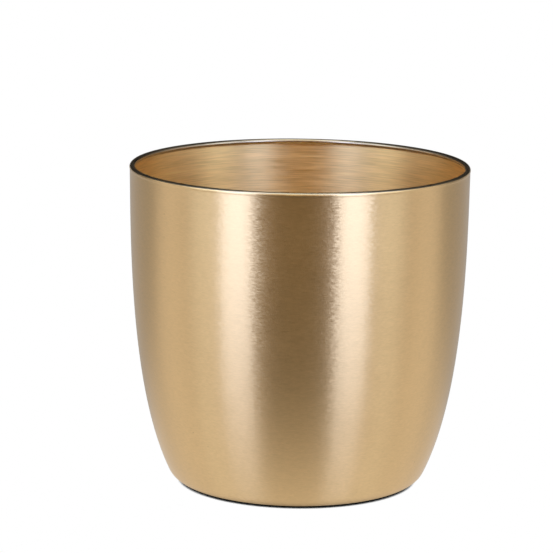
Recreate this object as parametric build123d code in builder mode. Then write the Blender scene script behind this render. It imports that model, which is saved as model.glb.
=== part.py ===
from build123d import *
from math import acos, cos, degrees, radians, sin
import os

# Round metal cachepot: one drawn sheet with a rolled rim, standing on thin rubber dots.
# Millimetres, +Z up. The origin is under the middle of the pot, on the surface it stands on.

# Overall sizes of the sheet-metal shell
rim_diameter = 140.0
shell_height = 132.0
sheet_thickness = 0.6

# Bottom: a flat standing ring round a stamped, raised middle panel
ring_outer_radius = 46.5
panel_radius = 28.0
panel_rise = 1.6
step_radius = 1.6
corner_radius = 7.6

# Wall: one free curve, leaning out at the foot and nearly upright at the rim
foot_lean = 25.5
rim_lean = 1.0
foot_pull_share = 0.305
rim_pull_share = 0.2

# Rolled rim: the sheet is necked in a little, then curled inwards into a hollow bead
bead_diameter = 2.3
neck_radius = 1.0
neck_depth = 0.15
curl_gap = 0.15

# Self-adhesive rubber dots under the standing ring
dot_count = 4
dot_diameter = 10.0
dot_thickness = 0.5
dot_edge_bevel = 0.15
first_dot_angle = 45.0


def heading(lean):
    """Direction of a line in the section that leans outwards from upright by this angle."""
    return Vector(sin(radians(lean)), cos(radians(lean)))


# The step between panel and ring is two equal arcs that share the rise
step_turn = degrees(acos(1 - panel_rise / (2 * step_radius)))
ring_inner_radius = panel_radius + 2 * step_radius * sin(radians(step_turn))

# The neck is an arc outwards that runs into the bead, and hides its own depth below it
bead_radius = bead_diameter / 2
neck_reach = neck_radius * cos(radians(rim_lean)) + bead_radius - neck_depth
bead_lean = degrees(acos(neck_reach / (neck_radius + bead_radius)))
bead_rise = bead_radius * (1 + sin(radians(bead_lean)))
neck_rise = neck_radius * (sin(radians(bead_lean)) - sin(radians(rim_lean)))
wall_top = Vector(rim_diameter / 2 - neck_depth, shell_height - bead_rise - neck_rise)

# The curl goes round until its free edge is one small gap from the inside of the wall
curl_edge_reach = bead_radius - neck_depth - sheet_thickness - curl_gap
curl_turn = 360 + bead_lean - degrees(acos(curl_edge_reach / bead_radius))


def draw_sheet_face(inset):
    """One face of the sheet, from the axis to the free edge of the curl.

    The outer face has no inset; the inner face lies one sheet thickness to its left.
    """
    panel = Line((0, panel_rise + inset), (panel_radius, panel_rise + inset))
    step_down = JernArc(panel @ 1, panel % 1, step_radius + inset, -step_turn)
    step_out = JernArc(step_down @ 1, step_down % 1, step_radius - inset, step_turn)
    ring = Line(step_out @ 1, (ring_outer_radius, inset))
    corner = JernArc(ring @ 1, ring % 1, corner_radius - inset, 90 - foot_lean)
    foot, top = corner @ 1, wall_top - heading(rim_lean).rotate(Axis.Z, -90) * inset
    wall = Bezier(
        foot,
        foot + heading(foot_lean) * foot_pull_share * (top - foot).length,
        top - heading(rim_lean) * rim_pull_share * (top - foot).length,
        top,
    )
    neck = JernArc(wall @ 1, wall % 1, neck_radius + inset, rim_lean - bead_lean)
    curl = JernArc(neck @ 1, neck % 1, bead_radius - inset, curl_turn)
    return panel @ 0, curl @ 1


# Shell: the two faces of the sheet, closed on the axis and at the curl's edge, spun round
standing_plane = Plane(origin=(0, 0, dot_thickness), x_dir=(1, 0, 0), z_dir=(0, -1, 0))
with BuildPart() as shell:
    with BuildSketch(standing_plane) as shell_section:
        with BuildLine():
            outer_ends = draw_sheet_face(0)
            inner_ends = draw_sheet_face(sheet_thickness)
            for outer_end, inner_end in zip(outer_ends, inner_ends):
                Line(outer_end, inner_end)
        make_face()
    revolve(axis=Axis.Z)
shell.part.label = "shell"

# Dots: evenly spaced on the middle of the standing ring, bevelled where they meet the table
dot_circle_radius = (ring_inner_radius + ring_outer_radius) / 2
dots = []
for number in range(dot_count):
    dot_angle = first_dot_angle + number * 360 / dot_count
    with BuildPart() as dot:
        with BuildSketch(Plane.XY):
            with PolarLocations(dot_circle_radius, 1, start_angle=dot_angle):
                Circle(dot_diameter / 2)
        extrude(amount=dot_thickness)
        chamfer(dot.faces().sort_by(Axis.Z)[0].edges(), dot_edge_bevel)
    dot.part.label = f"foot_dot_{number + 1}"
    dots.append(dot.part)

os.makedirs("parts", exist_ok=True)
for piece in [shell.part] + dots:
    export_step(piece, f"parts/{piece.label}.step")
    print(piece.label, "volume", round(piece.volume, 1), "valid", piece.is_valid)
print("standing ring from", round(ring_inner_radius, 2), "to", ring_outer_radius)
print("bead leaves the neck at", round(bead_lean, 1), "degrees and curls", round(curl_turn, 1))
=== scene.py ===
from math import acos, cos, degrees, hypot, pi, radians, sin

import bpy
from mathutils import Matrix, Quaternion, Vector


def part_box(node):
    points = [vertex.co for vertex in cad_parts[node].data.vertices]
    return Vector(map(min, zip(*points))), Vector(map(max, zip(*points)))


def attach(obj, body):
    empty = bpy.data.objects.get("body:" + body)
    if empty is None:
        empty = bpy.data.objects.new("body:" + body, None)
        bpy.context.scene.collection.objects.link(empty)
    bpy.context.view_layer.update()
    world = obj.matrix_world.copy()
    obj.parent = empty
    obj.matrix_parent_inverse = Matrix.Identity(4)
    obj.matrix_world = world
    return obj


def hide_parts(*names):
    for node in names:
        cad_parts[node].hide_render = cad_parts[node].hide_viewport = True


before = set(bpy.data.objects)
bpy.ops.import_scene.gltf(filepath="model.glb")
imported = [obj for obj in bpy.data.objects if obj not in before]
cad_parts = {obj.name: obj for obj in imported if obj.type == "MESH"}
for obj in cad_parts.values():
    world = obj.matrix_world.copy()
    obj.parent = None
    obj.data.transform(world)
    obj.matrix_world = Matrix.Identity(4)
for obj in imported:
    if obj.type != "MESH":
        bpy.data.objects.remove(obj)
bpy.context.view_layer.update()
shellLow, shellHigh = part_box("shell")


def deselectAll():
    if bpy.context.object and bpy.context.object.mode == "EDIT":
        bpy.ops.object.mode_set(mode="OBJECT")
    bpy.ops.object.select_all(action="DESELECT")


def addNode(tree, kind, inputs=None, **settings):
    node = tree.nodes.new(kind)
    for name, value in settings.items():
        setattr(node, name, value)
    for name, value in (inputs or {}).items():
        if isinstance(value, bpy.types.NodeSocket):
            tree.links.new(value, node.inputs[name])
        else:
            node.inputs[name].default_value = value
    return node


def addMath(tree, operation, *values):
    return addNode(tree, "ShaderNodeMath", dict(enumerate(values)), operation=operation).outputs[0]


def addVector(tree, operation, *values, **scale):
    inputs = {**dict(enumerate(values)), **scale}
    outputs = addNode(tree, "ShaderNodeVectorMath", inputs, operation=operation).outputs
    return outputs["Value"] if operation == "LENGTH" else outputs["Vector"]


def addPlace(tree):
    return addNode(tree, "ShaderNodeTexCoord").outputs["Object"]


def addSplit(tree, vector):
    return addNode(tree, "ShaderNodeSeparateXYZ", {"Vector": vector}).outputs


def addBlend(tree, share, first, second):
    colours = {"Factor": share, "A": first, "B": second}
    return addNode(tree, "ShaderNodeMix", colours, data_type="RGBA").outputs["Result"]


def addSlope(tree, value, start, end, low=0.0, high=1.0, curve="SMOOTHSTEP"):
    reach = {"Value": value, "From Min": start, "From Max": end, "To Min": low, "To Max": high}
    return addNode(tree, "ShaderNodeMapRange", reach, interpolation_type=curve).outputs["Result"]


def newMaterial(name):
    material = bpy.data.materials.new(name)
    material.use_nodes = True
    material.node_tree.nodes.clear()
    return material, material.node_tree


# The camera, fitted to the outline of the pot in the photo
photoView = {
    "pixels": 553,                    # side of the square photo
    "distance": 1.25,                 # camera to the middle of the pot, metres
    "elevation": 12.32,               # degrees above the table
    "roll": 0.65,                     # degrees, anticlockwise
    "pixelsPerMetre": 2410,           # scale of the photo at the middle of the pot
    "middleHeight": 0.065,            # height of the point on the axis that middlePixel shows
    "middlePixel": (298.08, 324.85),
    "sensor": 36.0,                   # millimetres
    "clipEnd": 50,                    # metres
}


def addCamera():
    v = photoView
    middle = Vector((0, 0, v["middleHeight"]))
    lean = radians(v["elevation"])
    back = Vector((0, -cos(lean), sin(lean)))
    bpy.ops.object.camera_add(location=middle + back * v["distance"])
    camera = bpy.context.object
    camera.name = "photoCamera"
    turn = Quaternion((0, 0, 1), radians(v["roll"]))
    facing = (-back).to_track_quat("-Z", "Y") @ turn
    # the camera looks past the middle, by as much as the photo has it off centre
    offX = (v["pixels"] / 2 - v["middlePixel"][0]) / v["pixelsPerMetre"]
    offY = (v["middlePixel"][1] - v["pixels"] / 2) / v["pixelsPerMetre"]
    aim = middle + facing @ Vector((offX, offY, 0))
    camera.rotation_mode = "QUATERNION"
    camera.rotation_quaternion = (aim - camera.location).to_track_quat("-Z", "Y") @ turn
    camera.data.sensor_width = v["sensor"]
    camera.data.lens = v["sensor"] * v["pixelsPerMetre"] * v["distance"] / v["pixels"]
    camera.data.clip_end = v["clipEnd"]
    bpy.context.scene.camera = camera
    print("camera set, lens", round(camera.data.lens), "mm")


addCamera()

# The sheet-metal shell: lengths in metres, turns in degrees
potShell = {
    "sheet": 0.0006,
    "ringRadius": 0.0465,      # the flat standing ring ends here
    "panelRadius": 0.028,      # the raised middle of the bottom
    "panelRise": 0.0016,
    "stepRadius": 0.0016,
    "cornerRadius": 0.0076,
    "footLean": 25.5,          # the wall leans out by this above the corner
    "rimLean": 1.0,
    "footPull": 0.305,         # how far the wall's curve follows the lean at each end, as a share of its length
    "rimPull": 0.2,
    "beadRadius": 0.00115,     # the curled rim
    "beadFront": 30,           # the outside finish goes on over the bead up to here, above level
    "beadMargin": 1.01,        # faces up to this share of its radius from its middle belong to it
    "neckRadius": 0.001,
    "neckDepth": 0.00015,
    "curlGap": 0.00015,
    "panelShares": (0.3, 0.6, 0.9, 1),  # rings of points on the flat stretches of the bottom
    "ringShares": (0.1, 0.5, 0.9, 1),
    "stepRings": 8,
    "cornerRings": 14,
    "wallRings": 110,
    "neckRings": 4,
    "curlRings": 44,
    "turnSteps": 192,          # faces round the pot
    "spinMarkPitch": 0.0023,   # the spinning tool's rings on the inside
    "spinMarkDepth": 0.000006,
    "spinMarkWaves": ((1, 0), (1.37, 1), (0.61, 2)),  # rate and offset of each wave that they are the sum of
    "seedSize": 0.001,         # the small plane that is merged to the section's first point
    "mergeDistance": 0.000002,
    "smoothAngle": 40,
}


def walkArc(path, radius, turn, steps):
    # turn in degrees, positive to the left; each entry is a point and the heading there
    start, heading = path[-1]
    side = 1 if turn > 0 else -1
    centre = start + side * radius * Vector((-sin(heading), cos(heading)))
    for step in range(1, steps + 1):
        angle = heading + radians(turn) * step / steps
        path.append((centre + side * radius * Vector((sin(angle), -cos(angle))), angle))


def walkCurve(path, end, endHeading, startPull, endPull, steps):
    start, heading = path[-1]
    reach = (end - start).length
    first = start + reach * startPull * Vector((cos(heading), sin(heading)))
    second = end - reach * endPull * Vector((cos(endHeading), sin(endHeading)))
    for step in range(1, steps + 1):
        t = step / steps
        u = 1 - t
        point = u ** 3 * start + 3 * u * u * t * first + 3 * u * t * t * second + t ** 3 * end
        along = u * u * (first - start) + 2 * u * t * (second - first) + t * t * (end - second)
        path.append((point, Vector((1, 0)).angle_signed(along) * -1))


def shellSection():
    # the outer face from the axis to the edge of the curl, then the inner face back
    s = potShell
    bead, neck, foot = s["beadRadius"], s["neckRadius"], shellLow.z
    stepTurn = degrees(acos(1 - s["panelRise"] / (2 * s["stepRadius"])))
    beadLean = degrees(acos((neck * cos(radians(s["rimLean"])) + bead - s["neckDepth"]) / (neck + bead)))
    curlReach = bead - s["neckDepth"] - s["sheet"] - s["curlGap"]
    curlTurn = 360 + beadLean - degrees(acos(curlReach / bead))
    rise = bead * (1 + sin(radians(beadLean))) + neck * (sin(radians(beadLean)) - sin(radians(s["rimLean"])))
    wallTop = Vector((shellHigh.x - s["neckDepth"], shellHigh.z - rise))
    outer = [(Vector((0, foot + s["panelRise"])), 0.0)]
    for share in s["panelShares"]:
        outer.append((Vector((s["panelRadius"] * share, foot + s["panelRise"])), 0.0))
    walkArc(outer, s["stepRadius"], -stepTurn, s["stepRings"])
    walkArc(outer, s["stepRadius"], stepTurn, s["stepRings"])
    ringStart = outer[-1][0].x
    for share in s["ringShares"]:
        outer.append((Vector((ringStart + (s["ringRadius"] - ringStart) * share, foot)), 0.0))
    walkArc(outer, s["cornerRadius"], 90 - s["footLean"], s["cornerRings"])
    wallStart = len(outer)
    walkCurve(outer, wallTop, radians(90 - s["rimLean"]), s["footPull"], s["rimPull"], s["wallRings"])
    wallEnd = len(outer)
    walkArc(outer, neck, s["rimLean"] - beadLean, s["neckRings"])
    walkArc(outer, bead, curlTurn, s["curlRings"])
    section = [point for point, heading in outer]
    for index in reversed(range(len(outer))):
        point, heading = outer[index]
        depth = s["sheet"]
        if wallStart < index < wallEnd:
            wave = point.y / s["spinMarkPitch"] * 2 * pi
            marks = [sin(wave * rate + offset) for rate, offset in s["spinMarkWaves"]]
            depth += s["spinMarkDepth"] * sum(marks) / len(marks)
        inner = point + depth * Vector((-sin(heading), cos(heading)))
        section.append(Vector((max(inner.x, 0), inner.y)))
    return section


def spinShell():
    section = shellSection()
    deselectAll()
    bpy.ops.mesh.primitive_plane_add(size=potShell["seedSize"], location=(0, 0, section[0].y))
    shell = bpy.context.object
    shell.name = "potShell"
    bpy.ops.object.transform_apply(location=True, rotation=True, scale=True)
    bpy.ops.object.mode_set(mode="EDIT")
    bpy.ops.mesh.select_mode(type="VERT")
    bpy.ops.mesh.select_all(action="SELECT")
    bpy.ops.mesh.merge(type="CENTER")
    for here, there in zip(section, section[1:]):
        move = (there.x - here.x, 0, there.y - here.y)
        bpy.ops.mesh.extrude_region_move(TRANSFORM_OT_translate={"value": move})
    bpy.ops.mesh.select_all(action="SELECT")
    bpy.ops.mesh.spin(
        steps=potShell["turnSteps"], angle=2 * pi, center=(0, 0, 0), axis=(0, 0, 1), use_auto_merge=True
    )
    bpy.ops.mesh.select_all(action="SELECT")
    bpy.ops.mesh.remove_doubles(threshold=potShell["mergeDistance"])
    bpy.ops.mesh.normals_make_consistent(inside=False)
    bpy.ops.object.mode_set(mode="OBJECT")
    bpy.ops.object.shade_smooth_by_angle(angle=radians(potShell["smoothAngle"]))
    for modifier in list(shell.modifiers):
        bpy.ops.object.modifier_apply(modifier=modifier.name)
    print("shell spun:", len(shell.data.vertices), "vertices, section of", len(section), "points")
    return shell


# The finish of the metal: brass sheet, brushed round the pot. The inside and the bead carry painted light and
# shade in their colours: the inside is painted lighter, the bead darker and greyer.
brassLook = {
    "outside": {
        "colour": (0.66, 0.45, 0.22),
        "roughness": 0.38,
        "anisotropy": 0.95,
        "streak": 0.13,          # contrast of the brush lines
        "streakHeight": 0.0006,  # metres, across the brushing
        "streakLength": 0.002,   # metres, along it
        "waver": 0.055,          # how far the lines tilt sideways, which frays the edge of a highlight
        "patina": 0.06,
        "relief": 0.15,
    },
    "inside": {
        # painted light: the same brass as the outside, painted lighter so that the inside looks more brightly
        # lit
        "colour": (0.9, 0.645, 0.31),
        "roughness": 0.42,
        "anisotropy": 0.75,
        "streak": 0.32,
        "streakHeight": 0.0005,
        "streakLength": 0.012,
        "waver": 0.06,
        "patina": 0.08,
        "relief": 0.3,
    },
    "rim": {
        # painted shade: the same brass painted darker and greyer, so that the bead looks dimmer
        "colour": (0.5, 0.395, 0.265),
        "roughness": 0.28,
        "anisotropy": 0.0,
        "streak": 0.08,
        "streakHeight": 0.0006,
        "streakLength": 0.02,
        "waver": 0.03,
        "patina": 0.05,
        "relief": 0.06,
    },
    "sweep": 0.065,          # the pot's radius, which turns a streak's length into an angle
    "speckGap": 0.006,       # the specks' mean distance before most are left out
    "speckShare": 0.07,
    "speckRadius": 0.0002,
    "speckDark": 0.45,
    "speckRough": 0.3,
    "broadShare": 0.35,      # the broad lines' weight beside the fine ones
    "stainScale": 38.0,
    "lineRough": 0.3,        # how much of the lines' contrast, and of the stains', shows in the roughness too
    "stainRough": 0.4,
    "reliefDepth": 0.00002,
    "brushTurn": 0.25,       # a quarter turn, so that the brushing runs round the pot
    "insideUp": 0.2,         # faces that look up by more than this belong to the inside
    "insideLevel": -0.1,     # and so do those that face the axis, down to this
}


def turnedGrainGroup():
    # lines that run round the axis, from noise read by direction round the axis and by height plus radius
    b = brassLook
    tree = bpy.data.node_groups.new("turnedGrain", "ShaderNodeTree")
    for name in ("Across Scale", "Round Scale", "Streak", "Waver", "Patina", "Roughness"):
        tree.interface.new_socket(name, in_out="INPUT", socket_type="NodeSocketFloat")
    tree.interface.new_socket("Colour", in_out="INPUT", socket_type="NodeSocketColor")
    outputs = {"Colour": "Color", "Roughness": "Float", "Height": "Float", "Normal": "Vector"}
    for name, kind in outputs.items():
        tree.interface.new_socket(name, in_out="OUTPUT", socket_type="NodeSocket" + kind)
    given = addNode(tree, "NodeGroupInput").outputs
    place = addPlace(tree)
    flat = addVector(tree, "MULTIPLY", place, (1, 1, 0))
    radius = addVector(tree, "LENGTH", flat)
    direction = addVector(tree, "NORMALIZE", flat)
    across = addMath(tree, "ADD", addSplit(tree, place)["Z"], radius)

    def addStreaks(acrossShare, roundShare, detail, offset):
        # the shares make the lines finer or coarser than the finish's own scale
        roundScale = addMath(tree, "MULTIPLY", given["Round Scale"], roundShare)
        around = addVector(tree, "SCALE", direction, Scale=roundScale)
        acrossScale = addMath(tree, "MULTIPLY", given["Across Scale"], acrossShare)
        level = addMath(tree, "MULTIPLY_ADD", acrossScale, across, offset)
        level = addNode(tree, "ShaderNodeCombineXYZ", {"Z": level}).outputs[0]
        where = addVector(tree, "ADD", around, level)
        noise = addNode(tree, "ShaderNodeTexNoise", {"Vector": where, "Scale": 1.0, "Detail": detail,
                                                     "Roughness": 0.6})
        return addMath(tree, "MULTIPLY_ADD", noise.outputs["Fac"], 2.0, -1.0)

    fine = addStreaks(acrossShare=1.0, roundShare=1.0, detail=2.0, offset=0.0)
    broad = addStreaks(acrossShare=0.23, roundShare=0.35, detail=1.0, offset=7.3)
    lines = addMath(tree, "MULTIPLY_ADD", broad, b["broadShare"], fine)

    # stains, and a few specks of dust
    stain = addNode(tree, "ShaderNodeTexNoise", {"Vector": place, "Scale": b["stainScale"], "Detail": 3.0})
    stain = addMath(tree, "MULTIPLY_ADD", stain.outputs["Fac"], 2.0, -1.0)
    cell = addNode(tree, "ShaderNodeTexVoronoi", {"Vector": place, "Scale": 1 / b["speckGap"]}).outputs
    inSpeck = addMath(tree, "LESS_THAN", cell["Distance"], b["speckRadius"] / b["speckGap"])
    chosen = addNode(tree, "ShaderNodeSeparateColor", {"Color": cell["Color"]}).outputs["Red"]
    chosen = addMath(tree, "LESS_THAN", chosen, b["speckShare"])
    speck = addMath(tree, "MULTIPLY", inSpeck, chosen)

    shade = addMath(tree, "MULTIPLY_ADD", stain, given["Patina"], 1.0)
    shade = addMath(tree, "MULTIPLY_ADD", lines, given["Streak"], shade)
    shade = addMath(tree, "MULTIPLY_ADD", speck, -b["speckDark"], shade)
    colour = addVector(tree, "SCALE", given["Colour"], Scale=shade)
    lineRough = addMath(tree, "MULTIPLY", given["Streak"], b["lineRough"])
    stainRough = addMath(tree, "MULTIPLY", given["Patina"], b["stainRough"])
    rough = addMath(tree, "MULTIPLY_ADD", lines, lineRough, given["Roughness"])
    rough = addMath(tree, "MULTIPLY_ADD", stain, stainRough, rough)
    rough = addMath(tree, "MULTIPLY_ADD", speck, b["speckRough"], rough)

    # each line leans a little to one side along the wall
    facing = addNode(tree, "ShaderNodeNewGeometry").outputs["Normal"]
    along = addVector(tree, "CROSS_PRODUCT", (0, 0, 1), direction)
    lean = addStreaks(acrossShare=1.3, roundShare=1.4, detail=1.0, offset=3.1)
    lean = addMath(tree, "MULTIPLY", lean, given["Waver"])
    normal = addVector(tree, "ADD", facing, addVector(tree, "SCALE", along, Scale=lean))
    normal = addVector(tree, "NORMALIZE", normal)
    addNode(tree, "NodeGroupOutput", {
        "Colour": colour, "Roughness": rough, "Height": lines, "Normal": normal,
    })
    return tree


def makeBrass(name, look, grain):
    material, tree = newMaterial(name)
    group = addNode(tree, "ShaderNodeGroup", node_tree=grain)
    for socket, value in {
        "Across Scale": 1 / look["streakHeight"],
        "Round Scale": brassLook["sweep"] / look["streakLength"],
        "Streak": look["streak"],
        "Waver": look["waver"],
        "Patina": look["patina"],
        "Roughness": look["roughness"],
        "Colour": (*look["colour"], 1),
    }.items():
        group.inputs[socket].default_value = value
    bump = addNode(tree, "ShaderNodeBump", {"Height": group.outputs["Height"], "Strength": look["relief"],
                                            "Distance": brassLook["reliefDepth"],
                                            "Normal": group.outputs["Normal"]})
    tangent = addNode(tree, "ShaderNodeTangent", direction_type="RADIAL", axis="Z")
    metal = addNode(tree, "ShaderNodeBsdfPrincipled", {
        "Base Color": group.outputs["Colour"],
        "Metallic": 1.0,
        "Roughness": group.outputs["Roughness"],
        "Anisotropic": look["anisotropy"],
        "Anisotropic Rotation": brassLook["brushTurn"],
        "Tangent": tangent.outputs[0],
        "Normal": bump.outputs[0],
    })
    addNode(tree, "ShaderNodeOutputMaterial", {"Surface": metal.outputs[0]})
    return material


def paintShell(shell):
    # outside, inside and bead are told apart by the height and the direction of each face. The inside gets the
    # brass painted lighter (painted light), the bead the brass painted darker and greyer (painted shade).
    grain = turnedGrainGroup()
    for name in ("outside", "inside", "rim"):
        shell.data.materials.append(makeBrass(name + "Brass", brassLook[name], grain))
    bead = potShell["beadRadius"]
    frontTop = shellHigh.z - bead * (1 - sin(radians(potShell["beadFront"])))
    for face in shell.data.polygons:
        middle, normal = face.center, face.normal
        outward = middle.x * normal.x + middle.y * normal.y
        fromAxis = hypot(middle.x, middle.y)
        fromBead = hypot(fromAxis - (shellHigh.x - bead), middle.z - (shellHigh.z - bead))
        beadFront = outward > 0 and middle.z < frontTop
        facesAxis = outward < 0 and normal.z > brassLook["insideLevel"]
        if fromBead < bead * potShell["beadMargin"] and not beadFront:
            face.material_index = 2
        elif normal.z > brassLook["insideUp"] or facesAxis:
            face.material_index = 1
        else:
            face.material_index = 0
    print("shell painted with", len(shell.data.materials), "finishes")


shell = spinShell()
paintShell(shell)
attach(shell, "root")
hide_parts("shell")

# The rubber dots keep their CAD meshes
rubberLook = {
    "colour": (0.03, 0.028, 0.026),
    "dustyShare": 1.8,         # how much lighter the dusty patches are
    "dustScale": 300.0,
    "roughness": 0.65,
    "roughSpread": 0.2,
    "grainSize": 0.0003,
    "grainStrength": 0.3,
    "grainDepth": 0.00005,
}


def makeRubber():
    material, tree = newMaterial("footRubber")
    r = rubberLook
    place = addPlace(tree)
    grain = addNode(tree, "ShaderNodeTexNoise", {"Vector": place, "Scale": 1 / r["grainSize"], "Detail": 3.0})
    dust = addNode(tree, "ShaderNodeTexNoise", {"Vector": place, "Scale": r["dustScale"], "Detail": 2.0})
    dusty = [c * r["dustyShare"] for c in r["colour"]]
    colour = addBlend(tree, dust.outputs["Fac"], (*r["colour"], 1), (*dusty, 1))
    rough = addMath(tree, "MULTIPLY_ADD", grain.outputs["Fac"], r["roughSpread"], r["roughness"])
    bump = addNode(tree, "ShaderNodeBump", {"Height": grain.outputs["Fac"], "Strength": r["grainStrength"],
                                            "Distance": r["grainDepth"]})
    rubber = addNode(tree, "ShaderNodeBsdfPrincipled", {
        "Base Color": colour, "Roughness": rough, "Normal": bump.outputs[0],
    })
    addNode(tree, "ShaderNodeOutputMaterial", {"Surface": rubber.outputs[0]})
    return material


rubber = makeRubber()
for name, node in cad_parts.items():
    if name.startswith("foot_dot"):
        node.data.materials.clear()
        node.data.materials.append(rubber)
print("dots painted")

# Floor, backdrop and lights. The camera sees a white floor. The metal sees it white round the pot too, but
# dark in front and dimmer behind, as the photo's metal does.
studio = {
    "floorSize": 12.0,
    "floorColour": (0.92, 0.92, 0.92, 1),
    "contactReach": 0.0014,           # metres, how far the pot darkens the floor for the camera
    "contactDarkest": 0.35,           # openness of the floor there, from 0 to 1, where it is black
    "contactClear": 0.8,              # and where it is white again
    "shadeReach": 0.0025,             # and how far it does in the metal's reflections
    "shadeLeast": 0.2,                # the share of the floor's light left there where it is darkest
    "frontWhite": 0.03,               # metres in front of the axis up to where the metal sees a white floor
    "frontDark": 0.2,                 # and where that floor has gone dark
    # painted shade: the dimmer warm tone that the metal sees on the floor beyond the front, to its sides
    "asideShadeTone": (0.5, 0.4, 0.3),     # the floor beyond, to the sides of the front
    "asideStart": 0.2,                # sine of the azimuth where that tone begins
    "asideEnd": 0.6,                  # and where it is full
    "behindWhite": 0.03,              # metres behind the axis up to where the metal sees a white floor
    "behindDim": 0.15,                # and where that floor is down to behindLevel
    "behindLevel": 0.7,
    "worldLevel": 1.0,                # plain light on matt surfaces, and white for the camera
    "horizonLevel": 0.42,             # the backdrop that the metal sees, low down
    "horizonTop": 0.8,                # sine of the elevation where it has gone dark
    "sidesEnd": 0.3,                  # cosine of the angle from straight behind, where it begins to darken
    "behindStart": 0.75,              # and where it has gone dark
    "shadeSamples": 8,
}


def addRayMasks(tree):
    # 1 where the camera looks, and 1 where metal or glass does
    ray = addNode(tree, "ShaderNodeLightPath").outputs
    mirrored = addMath(tree, "MAXIMUM", ray["Is Glossy Ray"], ray["Is Transmission Ray"])
    return ray["Is Camera Ray"], mirrored


def addOpenness(tree, reach):
    # 1 where the floor is open to the sky, less where the pot is within reach
    samples = studio["shadeSamples"]
    return addNode(tree, "ShaderNodeAmbientOcclusion", {"Distance": reach}, samples=samples).outputs["AO"]


def addPaintedFloorReflection(tree):
    # the floor as the metal sees it, in painted light and shade: white to the sides and behind, fading to black
    # straight in front and to a dimmer warm tone in front to the sides, dimmer farther behind, with the pot's
    # own shade painted close to the foot
    s = studio
    place = addPlace(tree)
    split = addSplit(tree, place)
    aside = addMath(tree, "DIVIDE", addMath(tree, "ABSOLUTE", split["X"]), addVector(tree, "LENGTH", place))
    aside = addSlope(tree, aside, s["asideStart"], s["asideEnd"])
    beyond = addVector(tree, "SCALE", s["asideShadeTone"], Scale=aside)
    white = addSlope(tree, split["Y"], -s["frontDark"], -s["frontWhite"])
    tone = addBlend(tree, white, beyond, (1, 1, 1, 1))
    behind = addSlope(tree, split["Y"], s["behindWhite"], s["behindDim"], 1.0, s["behindLevel"])
    # painted shade of the pot on the floor close to the foot
    shade = addOpenness(tree, s["shadeReach"])
    shade = addMath(tree, "MULTIPLY_ADD", shade, 1 - s["shadeLeast"], s["shadeLeast"])
    return addVector(tree, "SCALE", tone, Scale=addMath(tree, "MULTIPLY", shade, behind))


def addFloor():
    deselectAll()
    bpy.ops.mesh.primitive_plane_add(size=studio["floorSize"], location=(0, 0, 0))
    floor = bpy.context.object
    floor.name = "floor"
    material, tree = newMaterial("paleFloor")
    seen, mirrored = addRayMasks(tree)
    # painted contact shadow: the camera sees the white floor darkened where the pot is within contactReach
    contact = addOpenness(tree, studio["contactReach"])
    contact = addSlope(tree, contact, studio["contactDarkest"], studio["contactClear"])
    level = addBlend(tree, seen, addPaintedFloorReflection(tree), contact)
    white = addNode(tree, "ShaderNodeEmission", {"Color": level, "Strength": 1.0})
    matt = addNode(tree, "ShaderNodeBsdfDiffuse", {"Color": studio["floorColour"]})
    shown = addMath(tree, "MAXIMUM", seen, mirrored)
    mix = addNode(tree, "ShaderNodeMixShader", {0: shown, 1: matt.outputs[0], 2: white.outputs[0]})
    # from below, the floor lets the underside of the pot be seen
    below = addNode(tree, "ShaderNodeNewGeometry").outputs["Backfacing"]
    clear = addNode(tree, "ShaderNodeBsdfTransparent")
    mix = addNode(tree, "ShaderNodeMixShader", {0: below, 1: mix.outputs[0], 2: clear.outputs[0]})
    addNode(tree, "ShaderNodeOutputMaterial", {"Surface": mix.outputs[0]})
    floor.data.materials.append(material)


def addWorld():
    world = bpy.data.worlds.new("studioWorld")
    bpy.context.scene.world = world
    world.use_nodes = True
    tree = world.node_tree
    tree.nodes.clear()
    mirrored = addRayMasks(tree)[1]
    split = addSplit(tree, addNode(tree, "ShaderNodeTexCoord").outputs["Generated"])
    s = studio
    glow = addSlope(tree, split["Z"], 0.0, s["horizonTop"], s["horizonLevel"], 0.0, "LINEAR")
    front = addSlope(tree, split["Y"], s["sidesEnd"], s["behindStart"], 1.0, 0.0, "LINEAR")
    glow = addMath(tree, "MULTIPLY", glow, front)
    level = addNode(tree, "ShaderNodeMix", {"Factor": mirrored, "A": s["worldLevel"]})
    tree.links.new(glow, level.inputs["B"])
    back = addNode(tree, "ShaderNodeBackground", {"Color": (1, 1, 1, 1), "Strength": level.outputs[0]})
    addNode(tree, "ShaderNodeOutputWorld", {"Surface": back.outputs[0]})
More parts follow.
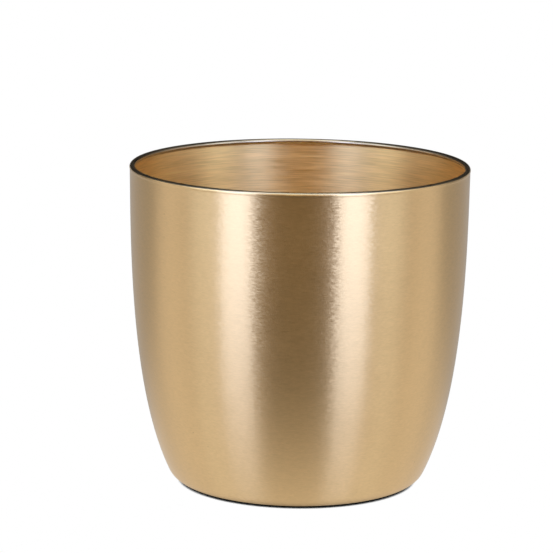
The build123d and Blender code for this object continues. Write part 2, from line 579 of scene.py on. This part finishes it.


# Each panel: direction from the pot, distance and height of its middle, its size in metres, the share of
# that size over which it fades out sideways and at the top, and its light, where 1 is white. The places and
# lights began as a least-squares fit to the photo, and were then changed, rounded and paired.
panels = {
    "leftStrip": {"azimuth": -38, "distance": 0.3, "height": 0.4, "width": 0.12, "tall": 0.8,
                  "fade": (0.08, 0.5), "light": (2.5, 3.1, 5.0)},
    "leftShoulder": {"azimuth": -64, "distance": 1.2, "height": 0.9, "width": 0.8, "tall": 1.8,
                     "fade": (0.35, 0.5), "light": (1.9, 2.2, 2.7)},
    "leftWall": {"azimuth": -92, "distance": 1.3, "height": 0.28, "width": 1.1, "tall": 0.56,
                 "fade": (0.3, 0.5), "light": (1.3, 1.3, 1.4)},
    "rightStrip": {"azimuth": 33, "distance": 0.3, "height": 0.4, "width": 0.12, "tall": 0.8,
                   "fade": (0.08, 0.5), "light": (2.5, 3.1, 5.0)},
    "rightShoulder": {"azimuth": 62, "distance": 1.2, "height": 0.9, "width": 0.8, "tall": 1.8,
                      "fade": (0.35, 0.5), "light": (1.9, 2.2, 2.7)},
    "rightWall": {"azimuth": 90, "distance": 1.3, "height": 0.28, "width": 1.1, "tall": 0.56,
                  "fade": (0.3, 0.5), "light": (1.3, 1.3, 1.4)},
    "frontFill": {"azimuth": 0, "distance": 1.4, "height": 0.9, "width": 1.4, "tall": 1.4,
                  "fade": (0.1, 0), "light": (0.4, 0.2, 0.0)},
    "highFront": {"azimuth": 0, "distance": 0.9, "height": 1.5, "width": 1.2, "tall": 1.0,
                  "fade": (0.1, 0), "light": (1.2, 1.1, 0.7)},
    "ceiling": {"azimuth": 0, "distance": 0.6, "height": 1.6, "width": 1.4, "tall": 1.6, "lie": True,
                "fade": (0.1, 0.05), "light": (1.9, 2.1, 2.2)},
}


def addPanel(name, panel):
    # an upright panel faces the pot's axis, a lying one faces down; only the metal sees them
    angle = radians(panel["azimuth"])
    deselectAll()
    middle = (panel["distance"] * sin(angle), -panel["distance"] * cos(angle), panel["height"])
    tip = 0 if "lie" in panel else pi / 2
    bpy.ops.mesh.primitive_plane_add(size=1, location=middle, rotation=(tip, 0, angle))
    card = bpy.context.object
    card.name = name
    card.scale = (panel["width"], panel["tall"], 1)
    material, tree = newMaterial(name + "Light")
    split = addSplit(tree, addPlace(tree))
    mask = 1.0
    for reach, fade in zip((addMath(tree, "ABSOLUTE", split["X"]), split["Y"]), panel["fade"]):
        if fade:
            mask = addMath(tree, "MULTIPLY", mask, addSlope(tree, reach, 0.5, 0.5 - fade))
    glow = addNode(tree, "ShaderNodeEmission", {"Color": (*panel["light"], 1)})
    clear = addNode(tree, "ShaderNodeBsdfTransparent")
    mix = addNode(tree, "ShaderNodeMixShader", {0: mask, 1: clear.outputs[0], 2: glow.outputs[0]})
    addNode(tree, "ShaderNodeOutputMaterial", {"Surface": mix.outputs[0]})
    card.data.materials.append(material)
    card.visible_camera = False
    card.visible_diffuse = False
    card.visible_shadow = False


addFloor()
addWorld()
for panelName, panel in panels.items():
    addPanel(panelName, panel)
bpy.context.scene.view_settings.view_transform = "Standard"
print("stage set with", len(panels), "panels")
